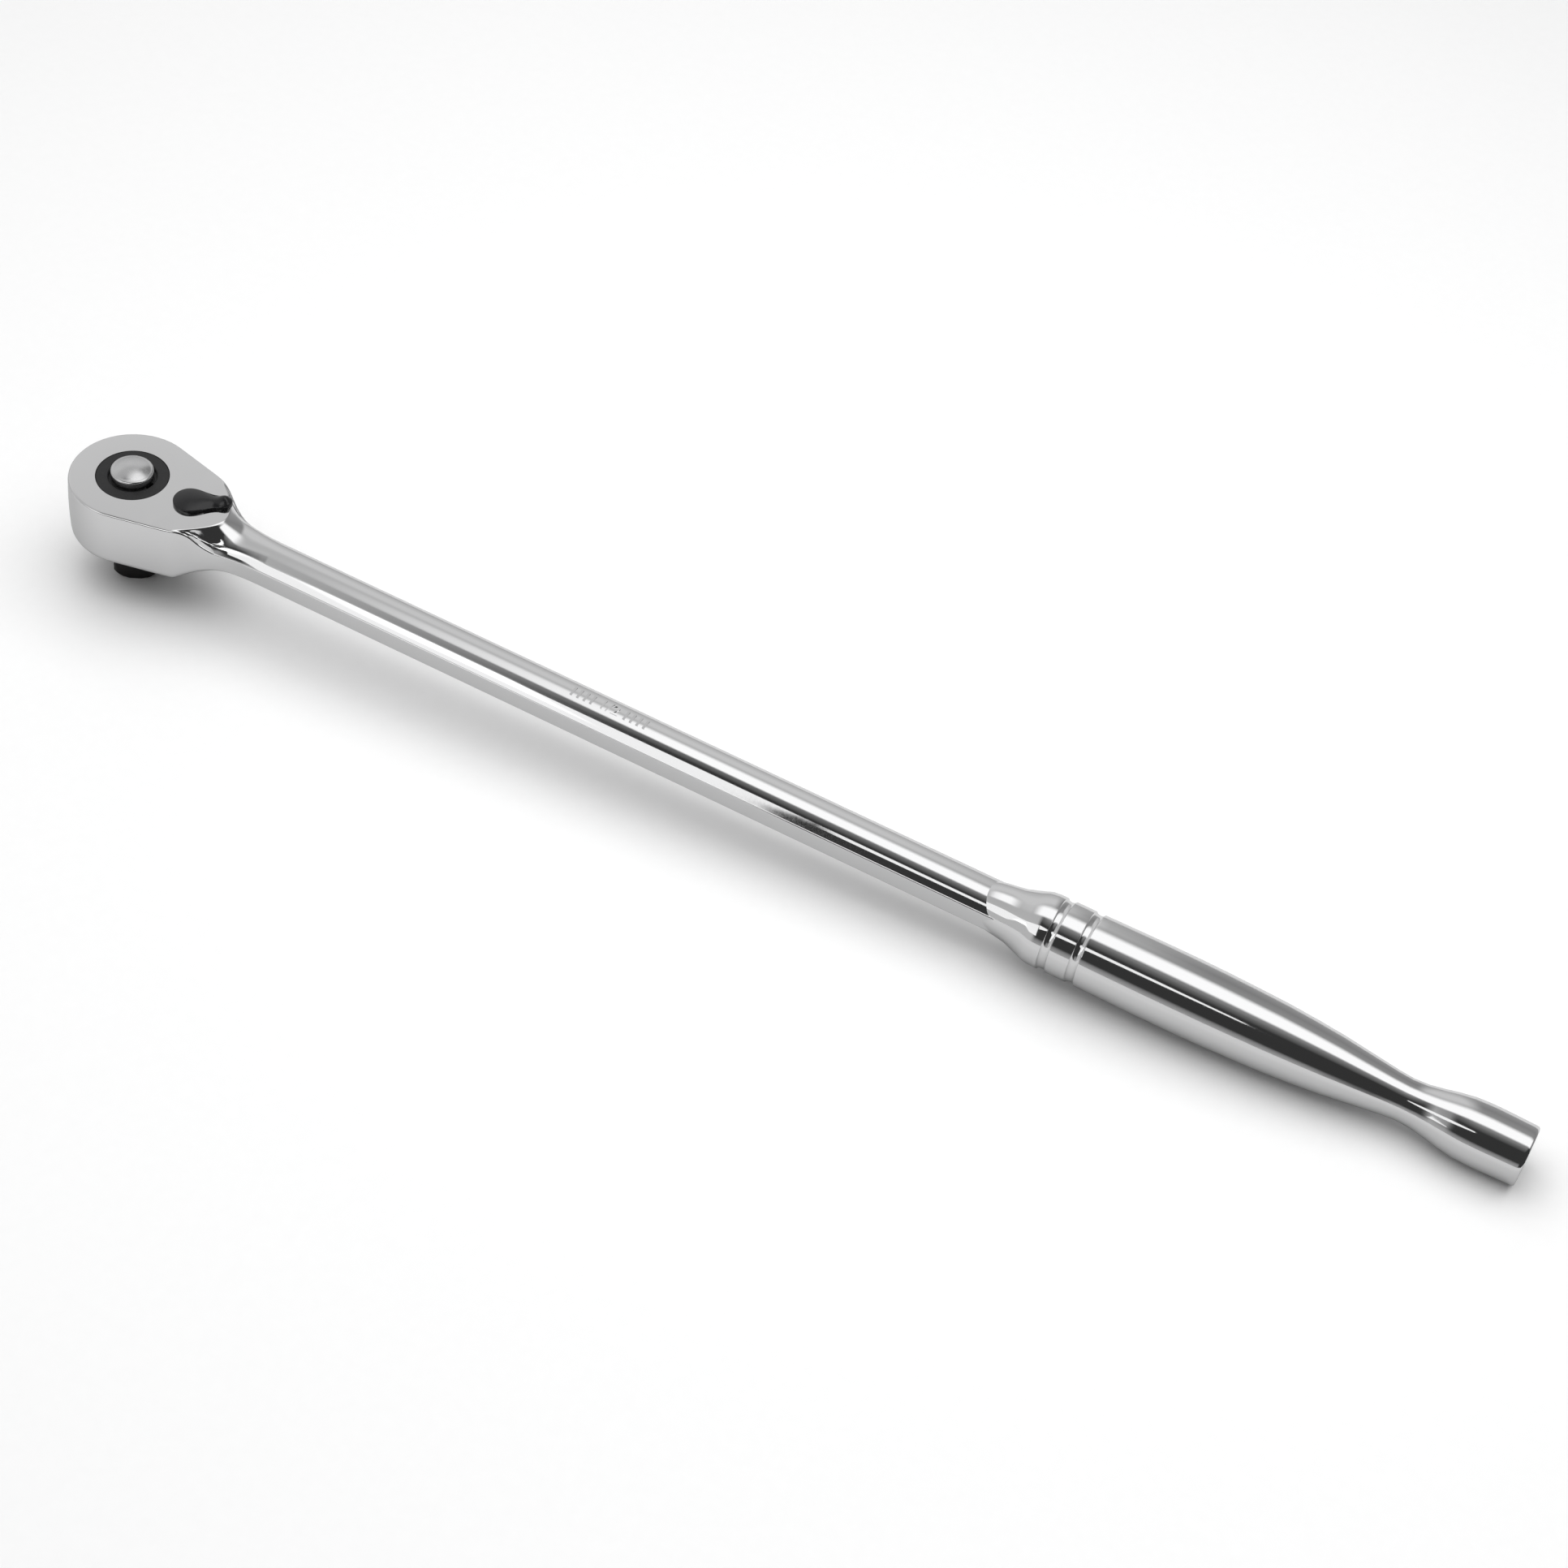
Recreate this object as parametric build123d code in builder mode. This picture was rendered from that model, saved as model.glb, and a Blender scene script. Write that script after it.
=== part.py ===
from build123d import *
import math
import os

# Long-handled ratchet wrench with a half-inch square drive. All sizes are in millimetres.
# The origin is on the drive axis, in the shoulder plane where a socket's mouth seats.
# +X runs along the handle to its end, and +Z points up to the release button.

# Fits
running_fit = 0.06
seal_fit = 0.04
mesh_gap = 0.08
face_gap = 0.1
seat_gap = 0.05

# Drive square
drive_side = 12.7
drive_corner_radius = 0.6614 * drive_side
drive_length = 15.5
drive_angle = 30.0
tip_chamfer_out = 1.6
tip_chamfer_up = 2.4

# Gear, its journals and its teeth
journal_radius = 10.7
gear_shoulder = 1.3
lower_journal_radius = 9.1
tooth_count = 72
tooth_depth = 0.75
tip_land = 0.2
journal_edge = 0.25

# Washers under the gear
washer_thickness = 0.6
drag_washer_height = 0.5
drag_washer_thickness = 0.3
washer_inset = 0.25

# Head
nose_wall = 6.45
tip_gap = 0.35
head_bottom = 0.8
plate_thickness = 2.6
gear_height = 11.5
top_wall = 4.0
side_taper = 13.4
corner_reach = 2.5
top_edge = 0.5
bottom_edge = 2.0

# Pawl
pawl_reach = 2.6
pawl_pin_radius = 1.2
pawl_pin_hold = 2.2
pawl_pin_seat = 1.5
pawl_half_width = 9.2
pawl_back_half_width = 2.6
pawl_back_wall = 0.85
pawl_back_relief = 0.6
pawl_shoulder_drop = 0.7
pawl_shoulder_width = 1.5
pawl_swing = 8.0
pawl_relief = 0.6
toothless_half_width = 5.2
pawl_room = 0.8
pawl_arm_reach = 5.1
pocket_corner_radius = 1.5

# Reversing lever and what its stem carries
lever_turn = 30.0
stem_radius = 3.4
lever_hub_radius = 4.8
lever_hub_height = 1.2
lever_neck_radius = 3.46
lever_tip_reach = 9.7
lever_tip_radius = 2.5
lever_tab_height = 2.2
lever_tab_inset = 0.2
plunger_radius = 1.3
plunger_length = 2.75
plunger_nose = 0.8
plunger_stand = 0.25
plunger_spring_length = 3.3
plunger_wire_radius = 0.2
plunger_coil_radius = 0.95
plunger_spring_turns = 5
back_arc_gap = 0.1
stem_ring_rise = 0.6
stem_ring_thickness = 0.7
stem_ring_reach = 0.5
stem_ring_opening = 1.6

# Release button, its pin and the ball
button_wall = 0.95
button_rise = 2.7
button_crown = 1.05
button_travel = 2.4
flange_overlap = 0.7
flange_height = 1.2
button_edge = 0.9
button_roof = 1.9
spring_wire_radius = 0.45
spring_turns = 4.5
spring_side_room = 0.4
spring_boss_gap = 0.73
pin_boss_wall = 1.1
pin_hold = 1.2
pin_end_room = 0.5
pin_waist_share = 0.7
ball_radius = 2.38
ball_stand = 0.64
ball_ramp_drop = 0.7
ball_ramp_lead = 0.3
ball_land = 2.4
ball_lip = 0.15
ring_thickness = 0.8
ring_grip = 0.9
ring_opening = 3.0
recess_depth = 1.1

# Seals
journal_seal_radius = 0.55
stem_seal_radius = 0.34
seal_slack = 0.1
journal_seal_drop = 2.4
stem_seal_drop = 1.0

# Cover screws
screw_radius = 1.2
screw_head_radius = 2.0
screw_length = 8.0
screw_end_room = 0.8
screw_side_x = 14.2
screw_edge = 2.2
plate_edge = 2.0
plate_end_reach = 4.6
plate_end_half_width = 6.5
plate_corner_radius = 2.5
key_radius = 0.9
key_depth = 1.0

# Neck and shank
neck_length = 27.0
shank_half_width = 6.95
shank_half_height = 6.42
flat_half_height = 2.8
crown_top_rise = 14.0
crown_low_rise = 6.0
# Share of the neck's length over which each of its sizes settles, and the power it settles with.
width_fade = (1.0, 2.7)
flat_top_fade = (0.56, 3.5)
flat_low_fade = (0.74, 1.8)
crown_top_fade = (0.74, 2.1)
crown_low_fade = (0.81, 1.8)
neck_sections = (0, 0.09, 0.19, 0.3, 0.42, 0.6, 0.8, 1)

# Grip: distance behind its start and radius, over the shoulder, the swell, the waist and the knob
overall_length = 457.2
grip_stations = (
    (0, 7.0),
    (8.8, 8.73),
    (15.5, 10.56),
    (50.0, 10.72),
    (82.6, 9.96),
    (103.6, 8.09),
    (120.3, 6.06),
    (132.8, 7.95),
    (143.2, 8.84),
    (153.9, 8.5),
)
knob_edge = 0.7
groove_places = (18.9, 27.4)
groove_radius = 0.9
groove_floor_radius = 10.06
shank_overlap = 4.0

# Places along the drive axis
plate_seat = head_bottom + plate_thickness
washer_top = plate_seat + washer_thickness
gear_bottom = washer_top + drag_washer_height + seat_gap
gear_top = gear_bottom + gear_height
cavity_top = gear_top + face_gap
head_top = cavity_top + top_wall
axis_height = (head_bottom + head_top) / 2

# Places across the head
gear_radius = journal_radius + gear_shoulder
root_radius = gear_radius - tooth_depth
cavity_radius = gear_radius + tip_gap
nose_radius = cavity_radius + nose_wall
pawl_x = gear_radius + pawl_reach
plunger_tip_reach = stem_radius + plunger_stand
back_arc_radius = plunger_tip_reach + back_arc_gap
lever_x = pawl_x + pawl_pin_radius + pawl_back_wall + back_arc_radius
corner_x = lever_x + corner_reach
taper = math.radians(side_taper)
side_start_x = nose_radius * math.sin(taper)
side_start_y = nose_radius * math.cos(taper)
corner_y = side_start_y - (corner_x - side_start_x) * math.tan(taper)
handle_end = overall_length - nose_radius
grip_start = handle_end - knob_edge - grip_stations[-1][0]
neck_end = corner_x + neck_length
handle_axis = Axis((0, 0, axis_height), (1, 0, 0))

# Places inside the drive
ring_top = head_top - recess_depth
ring_bottom = ring_top - ring_thickness
flange_top = ring_bottom - face_gap
button_bottom = flange_top - flange_height
button_well = button_bottom - button_travel - face_gap
ball_height = -drive_length / 2
ball_reach = drive_side / 2 + ball_stand - ball_radius
pin_radius = ball_reach - ball_radius - 0.5 * running_fit
ramp_start = ball_height - ball_ramp_lead
waist_land = pin_waist_share * ball_radius
boss_radius = pin_radius + pin_boss_wall
spring_coil_radius = boss_radius + spring_boss_gap + spring_wire_radius
spring_room = spring_coil_radius + spring_wire_radius + spring_side_room
button_radius = spring_room + button_wall
button_bore_radius = button_radius + flange_overlap + running_fit
pin_bottom = ramp_start - ball_land

# Places around the pawl and the lever's stem
pocket_end = lever_x - plunger_tip_reach / 2
pawl_back_x = lever_x - math.sqrt(back_arc_radius**2 - pawl_back_half_width**2)
pawl_shoulder_x = pawl_back_x - pawl_shoulder_drop
pawl_shoulder_y = pawl_back_half_width + pawl_shoulder_width
pawl_corner_x = gear_radius - pawl_back_relief
pawl_arm_x = pawl_corner_x - pawl_arm_reach
stem_ring_bottom = cavity_top + stem_ring_rise
stem_seal_z = head_top - stem_seal_drop
plunger_z = (plate_seat + cavity_top) / 2
journal_seal_z = head_top - journal_seal_drop
lower_seal_z = head_bottom + plate_thickness / 2


def side_y(x, inset=0.0):
    """Half-width of the head's tapered side at x, moved in by inset."""
    return side_start_y - (x - side_start_x) * math.tan(taper) - inset / math.cos(taper)


def pear_face(inset, end_x, end_y, corner_radius=0.0):
    """Adds the pear outline of the head, moved in by inset and closed by a flat end."""
    radius = nose_radius - inset
    start = (radius * math.sin(taper), radius * math.cos(taper))
    corners = [start, (end_x, end_y)]
    if end_x > corner_x - inset:
        corners.insert(1, (corner_x - inset, side_y(corner_x - inset, inset)))
    with BuildLine() as outline:
        ThreePointArc(start, (-radius, 0), (start[0], -start[1]))
        Polyline(*[(x, -y) for x, y in corners], *reversed(corners))
    face = make_face(outline.edges())
    if corner_radius:
        fillet(face.vertices().filter_by(lambda v: v.X > start[0] + 1), corner_radius)


def fade(x, from_size, to_size, share_and_power):
    """Goes from one size at the head's corner to another over its share of the neck."""
    share, power = share_and_power
    left = max(0.0, 1 - (x - corner_x) / (share * neck_length))
    return to_size + (from_size - to_size) * left**power


def crowned_face(x):
    """Adds the neck's section at x: two side flats joined by crowned faces."""
    head_half = (head_top - head_bottom) / 2
    width = fade(x, corner_y, shank_half_width, width_fade)
    flat_top = fade(x, head_half - top_edge, flat_half_height, flat_top_fade)
    flat_low = fade(x, head_half - bottom_edge, flat_half_height, flat_low_fade)
    crown_top = fade(x, shank_half_height + crown_top_rise, shank_half_height, crown_top_fade)
    crown_low = fade(x, shank_half_height + crown_low_rise, shank_half_height, crown_low_fade)
    with BuildLine() as outline:
        Line((width, axis_height - flat_low), (width, axis_height + flat_top))
        ThreePointArc(
            (width, axis_height + flat_top),
            (0, axis_height + crown_top),
            (-width, axis_height + flat_top),
        )
        Line((-width, axis_height + flat_top), (-width, axis_height - flat_low))
        ThreePointArc(
            (-width, axis_height - flat_low),
            (0, axis_height - crown_low),
            (width, axis_height - flat_low),
        )
    make_face(outline.edges())


def toothed_face(grow=0.0):
    """Adds the gear's outline, with every radius larger by grow."""
    pitch = 2 * math.pi / tooth_count
    half_land = tip_land / 2 / gear_radius
    points = []
    for tooth in range(tooth_count):
        middle = tooth * pitch
        for angle, radius in (
            (middle - half_land, gear_radius),
            (middle + half_land, gear_radius),
            (middle + pitch / 2, root_radius),
        ):
            points.append(((radius + grow) * math.cos(angle), (radius + grow) * math.sin(angle)))
    with BuildLine() as outline:
        Polyline(*points, close=True)
    make_face(outline.edges())


def round_ring(radius, height, section_radius, centre_x=0.0):
    """A ring of round section about a vertical axis."""
    with BuildPart() as ring:
        with BuildSketch(Plane.XZ):
            with Locations((centre_x + radius, height)):
                Circle(section_radius)
        revolve(axis=Axis((centre_x, 0, 0), (0, 0, 1)))
    return ring


def split_ring(inner, outer, bottom, thickness, opening, centre_x=0.0):
    """A flat snap ring with an opening towards the handle."""
    with BuildPart() as ring:
        with BuildSketch(Plane.XY.offset(bottom)):
            with Locations((centre_x, 0)):
                Circle(outer)
                Circle(inner, mode=Mode.SUBTRACT)
            with Locations((centre_x + outer, 0)):
                Rectangle(outer, opening, mode=Mode.SUBTRACT)
        extrude(amount=thickness)
    return ring


def screw_places():
    """Centres of the cover screws: one in the nose and one in each side wall."""
    nose_x = -(nose_radius - plate_edge - screw_edge)
    side = side_y(screw_side_x, plate_edge + screw_edge)
    return [(nose_x, 0), (screw_side_x, side), (screw_side_x, -side)]


# The pear-shaped head, the crowned shank and the round grip are one forging.

with BuildPart() as forged_body:
    with BuildSketch(Plane.XY.offset(head_bottom)):
        pear_face(0, corner_x, corner_y)
    extrude(amount=head_top - head_bottom)
    rim = forged_body.edges().filter_by(lambda e: e.center().X < corner_x - seat_gap)
    chamfer(rim.group_by(Axis.Z)[-1], top_edge)
    rim = forged_body.edges().filter_by(lambda e: e.center().X < corner_x - seat_gap)
    fillet(rim.group_by(Axis.Z)[0], bottom_edge)
    for share in neck_sections:
        with BuildSketch(Plane.YZ.offset(corner_x + share * neck_length)):
            crowned_face(corner_x + share * neck_length)
    loft()
    split(bisect_by=Plane.XY.offset(head_top), keep=Keep.BOTTOM)
    split(bisect_by=Plane.XY.offset(head_bottom), keep=Keep.TOP)
    with BuildSketch(Plane.YZ.offset(neck_end)):
        crowned_face(neck_end)
    extrude(amount=grip_start - neck_end + shank_overlap)
    grip_points = [(grip_start + along, axis_height + radius) for along, radius in grip_stations]
    with BuildSketch(Plane.XZ):
        with BuildLine():
            Spline(*grip_points)
            Polyline(
                grip_points[-1],
                (grip_points[-1][0], axis_height),
                (grip_start, axis_height),
                grip_points[0],
            )
        make_face()
    revolve(axis=handle_axis)
    with BuildSketch(Plane.YZ.offset(handle_end - knob_edge)):
        with Locations((0, axis_height)):
            Circle(grip_stations[-1][1])
    extrude(amount=knob_edge)
    chamfer(forged_body.faces().sort_by(Axis.X)[-1].edges(), knob_edge - seat_gap)
    with BuildSketch(Plane.XZ):
        for along in groove_places:
            with Locations((grip_start + along, axis_height + groove_floor_radius + groove_radius)):
                Circle(groove_radius)
    revolve(axis=handle_axis, mode=Mode.SUBTRACT)
    # Recess for the cover plate, then the gear's chamber with the pawl's pocket.
    with BuildSketch(Plane.XY.offset(head_bottom)):
        pear_face(
            plate_edge - seat_gap,
            lever_x + plate_end_reach + seat_gap,
            plate_end_half_width + seat_gap,
            plate_corner_radius,
        )
    extrude(amount=plate_thickness, mode=Mode.SUBTRACT)
    with BuildSketch(Plane.XY.offset(plate_seat)):
        Circle(cavity_radius)
        with Locations((pocket_end / 2, 0)):
            RectangleRounded(pocket_end, 2 * (pawl_half_width + pawl_room), pocket_corner_radius)
        with Locations((lever_x, 0)):
            Circle(stem_radius + running_fit)
    extrude(amount=cavity_top - plate_seat, mode=Mode.SUBTRACT)
    with BuildSketch(Plane.XY.offset(cavity_top)):
        Circle(journal_radius + running_fit)
        with Locations((lever_x, 0)):
            Circle(stem_radius + running_fit)
    extrude(amount=top_wall, mode=Mode.SUBTRACT)
    with BuildSketch(Plane.XY.offset(stem_ring_bottom - seat_gap)):
        with Locations((lever_x, 0)):
            Circle(stem_radius + stem_ring_reach + 2 * running_fit)
    extrude(amount=stem_ring_thickness + 2 * seat_gap, mode=Mode.SUBTRACT)
    with BuildSketch(Plane.XY.offset(cavity_top)):
        with Locations((pawl_x, 0)):
            Circle(pawl_pin_radius)
    extrude(amount=pawl_pin_hold, mode=Mode.SUBTRACT)
    with BuildSketch(Plane.XY.offset(plate_seat)):
        with Locations(*screw_places()):
            Circle(screw_radius + seat_gap)
    extrude(amount=screw_length + screw_end_room, mode=Mode.SUBTRACT)

# Teardrop cover under the head.
with BuildPart() as cover_plate:
    with BuildSketch(Plane.XY.offset(head_bottom)):
        pear_face(
            plate_edge,
            lever_x + plate_end_reach,
            plate_end_half_width,
            plate_corner_radius - seat_gap,
        )
        Circle(lower_journal_radius + running_fit, mode=Mode.SUBTRACT)
    extrude(amount=plate_thickness)
    with BuildSketch(Plane.XY.offset(plate_seat)):
        with Locations((pawl_x, 0)):
            Circle(pawl_pin_radius)
    extrude(amount=-pawl_pin_seat, mode=Mode.SUBTRACT)
    with Locations(Plane.XY.offset(head_bottom) * Rotation(180, 0, 0)):
        with Locations(*[(x, -y) for x, y in screw_places()]):
            CounterSinkHole(
                radius=screw_radius + seat_gap,
                counter_sink_radius=screw_head_radius + seat_gap,
                depth=plate_thickness,
            )

# Countersunk screws that hold the cover.
with BuildPart() as cover_screws:
    for x, y in screw_places():
        with BuildSketch(Plane.XY.offset(head_bottom)):
            with Locations((x, y)):
                Circle(screw_head_radius)
        with BuildSketch(Plane.XY.offset(head_bottom + screw_head_radius - screw_radius)):
            with Locations((x, y)):
                Circle(screw_radius)
        loft()
        with BuildSketch(Plane.XY.offset(head_bottom + screw_head_radius - screw_radius)):
            with Locations((x, y)):
                Circle(screw_radius)
        extrude(amount=screw_length)
        with BuildSketch(Plane.XY.offset(head_bottom)):
            with Locations((x, y)):
                RegularPolygon(key_radius, 6)
        extrude(amount=key_depth, mode=Mode.SUBTRACT)

# Flat washer on the cover, and the coned washer that gives the gear its slight drag.
with BuildPart() as thrust_washer:
    with BuildSketch(Plane.XY.offset(plate_seat)):
        Circle(root_radius - washer_inset)
        Circle(lower_journal_radius + washer_inset, mode=Mode.SUBTRACT)
    extrude(amount=washer_thickness)

with BuildPart() as drag_washer:
    inner = lower_journal_radius + washer_inset
    outer = root_radius - washer_inset
    rise = drag_washer_height - drag_washer_thickness
    with BuildSketch(Plane.XZ):
        with BuildLine():
            Polyline(
                (inner, washer_top + rise),
                (outer, washer_top),
                (outer, washer_top + drag_washer_thickness),
                (inner, washer_top + drag_washer_height),
                close=True,
            )
        make_face()
    revolve(axis=Axis.Z)

# Gear, journals and drive square are one piece, hollow for the button and its pin.
drive_plane = Plane.XY.rotated((0, 0, drive_angle))
ball_plane = Plane(
    origin=(0, 0, ball_height),
    x_dir=(0, 0, 1),
    z_dir=(math.cos(math.radians(drive_angle)), math.sin(math.radians(drive_angle)), 0),
)

with BuildPart() as drive_gear:
    with BuildSketch(drive_plane):
        Rectangle(drive_side, drive_side)
        Circle(drive_corner_radius, mode=Mode.INTERSECT)
    extrude(amount=-drive_length)
    with BuildSketch(Plane.XZ):
        with BuildLine():
            Polyline(
                (drive_corner_radius - tip_chamfer_out, -drive_length),
                (drive_corner_radius + 1, -drive_length),
                (drive_corner_radius + 1, tip_chamfer_up - drive_length),
                (drive_corner_radius, tip_chamfer_up - drive_length),
                close=True,
            )
        make_face()
    revolve(axis=Axis.Z, mode=Mode.SUBTRACT)
    with BuildSketch():
        Circle(lower_journal_radius)
    extrude(amount=gear_bottom)
    with BuildSketch(Plane.XY.offset(gear_bottom)):
        toothed_face()
    extrude(amount=gear_height)
    with BuildSketch(Plane.XY.offset(gear_top)):
        Circle(journal_radius)
    extrude(amount=head_top - gear_top)
    chamfer(drive_gear.edges().group_by(Axis.Z)[-1], journal_edge)
    # Grooves for the two seals.
    with BuildSketch(Plane.XZ):
        for radius, height in ((journal_radius, journal_seal_z), (lower_journal_radius, lower_seal_z)):
            with Locations((radius, height)):
                Rectangle(
                    4 * journal_seal_radius,
                    2 * (journal_seal_radius + seal_slack),
                )
    revolve(axis=Axis.Z, mode=Mode.SUBTRACT)
    # Well for the button and its spring, with the snap ring's groove.
    with BuildSketch(Plane.XY.offset(button_well)):
        Circle(button_bore_radius)
    extrude(amount=head_top - button_well, mode=Mode.SUBTRACT)
    with BuildSketch(Plane.XY.offset(ring_bottom)):
        Circle(button_bore_radius + ring_grip)
    extrude(amount=ring_thickness, mode=Mode.SUBTRACT)
    pin_bore_end = pin_bottom - button_travel - pin_end_room
    with BuildSketch(Plane.XY.offset(pin_bore_end)):
        Circle(pin_radius + running_fit)
    extrude(amount=button_well - pin_bore_end, mode=Mode.SUBTRACT)
    # Cross bore for the ball, narrowed at its mouth.
    with BuildSketch(ball_plane):
        Circle(ball_radius + running_fit)
    extrude(amount=drive_side / 2 - ball_lip, mode=Mode.SUBTRACT)
    with BuildSketch(ball_plane):
        lip_depth = drive_side / 2 - ball_lip - ball_reach
        Circle(math.sqrt(ball_radius**2 - lip_depth**2) + 0.5 * running_fit)
    extrude(amount=drive_side / 2 + 1, mode=Mode.SUBTRACT)

# Chromed button with a flange that the snap ring holds in.
with BuildPart() as release_button:
    with BuildSketch(Plane.XZ):
        with BuildLine():
            crown_top = head_top + button_rise + button_crown
            Polyline(
                (0, crown_top),
                (0, button_bottom),
                (button_radius + flange_overlap, button_bottom),
                (button_radius + flange_overlap, flange_top),
                (button_radius, flange_top),
                (button_radius, head_top + button_rise - button_edge),
            )
            ThreePointArc(
                (button_radius, head_top + button_rise - button_edge),
                (
                    button_radius - button_edge * (1 - math.cos(math.pi / 4)),
                    head_top + button_rise - button_edge * (1 - math.sin(math.pi / 4)),
                ),
                (button_radius - button_edge, head_top + button_rise),
            )
            dome_edge = button_radius - button_edge
            dome_radius = (dome_edge**2 + button_crown**2) / (2 * button_crown)
            dome_drop = dome_radius - math.sqrt(dome_radius**2 - (dome_edge / 2) ** 2)
            ThreePointArc(
                (dome_edge, head_top + button_rise),
                (dome_edge / 2, crown_top - dome_drop),
                (0, crown_top),
            )
        make_face()
    revolve(axis=Axis.Z)
    roof = head_top + button_rise - button_roof
    with BuildSketch(Plane.XY.offset(button_bottom)):
        Circle(spring_room)
        Circle(boss_radius, mode=Mode.SUBTRACT)
    extrude(amount=roof - button_bottom, mode=Mode.SUBTRACT)
    with BuildSketch(Plane.XY.offset(button_bottom)):
        Circle(pin_radius)
    extrude(amount=roof - button_bottom - pin_hold, mode=Mode.SUBTRACT)

# Pin under the button: its full-width foot holds the ball out, its waist lets it in.
with BuildPart() as release_pin:
    pin_top = roof - pin_hold
    waist = pin_radius - ball_ramp_drop - 0.5 * running_fit
    ramp_end = ramp_start + button_travel + face_gap
    with BuildSketch(Plane.XZ):
        with BuildLine():
            Polyline(
                (0, pin_top),
                (0, pin_bottom),
                (pin_radius, pin_bottom),
                (pin_radius, ramp_start),
                (waist, ramp_end),
                (waist, ramp_end + waist_land),
                (pin_radius, ramp_end + waist_land + ball_ramp_drop),
                (pin_radius, pin_top),
                close=True,
            )
        make_face()
    revolve(axis=Axis.Z)

# Coil spring that lifts the button.
spring_length = roof - button_well
with BuildPart() as button_spring:
    coil_rise = spring_length - 2 * spring_wire_radius - 2 * seat_gap
    with BuildLine():
        coil = Helix(
            pitch=coil_rise / spring_turns,
            height=coil_rise,
            radius=spring_coil_radius,
            center=(0, 0, button_well + spring_wire_radius + seat_gap),
        )
    with BuildSketch(Plane(origin=coil @ 0, z_dir=coil % 0)):
        Circle(spring_wire_radius)
    sweep(is_frenet=True)

button_snap_ring = split_ring(
    button_radius + running_fit,
    button_bore_radius + ring_grip - seat_gap,
    ring_bottom,
    ring_thickness,
    ring_opening,
)

with BuildPart() as detent_ball:
    with Locations(ball_plane.offset(ball_reach)):
        Sphere(ball_radius)

upper_seal_ring = round_ring(
    journal_radius + running_fit - seal_fit - journal_seal_radius,
    journal_seal_z,
    journal_seal_radius,
)
lower_seal_ring = round_ring(
    lower_journal_radius + running_fit - seal_fit - journal_seal_radius,
    lower_seal_z,
    journal_seal_radius,
)

# Rocker pawl, built square to the handle and then swung to the engaged side.
with BuildPart() as pawl:
    with BuildSketch(Plane.XY.offset(plate_seat + face_gap)):
        with BuildLine():
            ThreePointArc(
                (pawl_back_x, pawl_back_half_width),
                (lever_x - back_arc_radius, 0),
                (pawl_back_x, -pawl_back_half_width),
            )
            Polyline(
                (pawl_back_x, -pawl_back_half_width),
                (pawl_shoulder_x, -pawl_shoulder_y),
                (pawl_corner_x, -pawl_half_width),
                (pawl_arm_x, -pawl_half_width),
                (pawl_arm_x, pawl_half_width),
                (pawl_corner_x, pawl_half_width),
                (pawl_shoulder_x, pawl_shoulder_y),
                (pawl_back_x, pawl_back_half_width),
            )
        make_face()
        with BuildSketch(mode=Mode.SUBTRACT):
            Circle(gear_radius + pawl_relief)
            Rectangle(4 * gear_radius, 2 * toothless_half_width, mode=Mode.INTERSECT)
        with Locations((pawl_x, 0)):
            Circle(pawl_pin_radius + running_fit, mode=Mode.SUBTRACT)
        for side in (1, -1):
            with Locations(Location((pawl_x, 0), side * pawl_swing / 2)):
                with BuildSketch(mode=Mode.PRIVATE) as gear_shape:
                    toothed_face(mesh_gap)
                add(gear_shape.sketch.moved(Location((-pawl_x, 0, 0))), mode=Mode.SUBTRACT)
    extrude(amount=cavity_top - plate_seat - 2 * face_gap)
pawl.part = pawl.part.rotate(Axis((pawl_x, 0, 0), (0, 0, 1)), -pawl_swing / 2)

with BuildPart() as pawl_pin:
    with BuildSketch(Plane.XY.offset(plate_seat - pawl_pin_seat)):
        with Locations((pawl_x, 0)):
            Circle(pawl_pin_radius)
    extrude(amount=pawl_pin_seat + cavity_top - plate_seat + pawl_pin_hold - seat_gap)

# Reversing lever on its stem, with a cross bore for the plunger.
turn = math.radians(lever_turn)
plunger_out = (-math.cos(turn), -math.sin(turn), 0)
plunger_plane = Plane(origin=(lever_x, 0, plunger_z), x_dir=(0, 0, 1), z_dir=plunger_out)
lever_plane = Plane(origin=(lever_x, 0, head_top + seat_gap)).rotated((0, 0, lever_turn))
stem_bore_depth = plunger_spring_length - (plunger_tip_reach - plunger_length)

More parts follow.
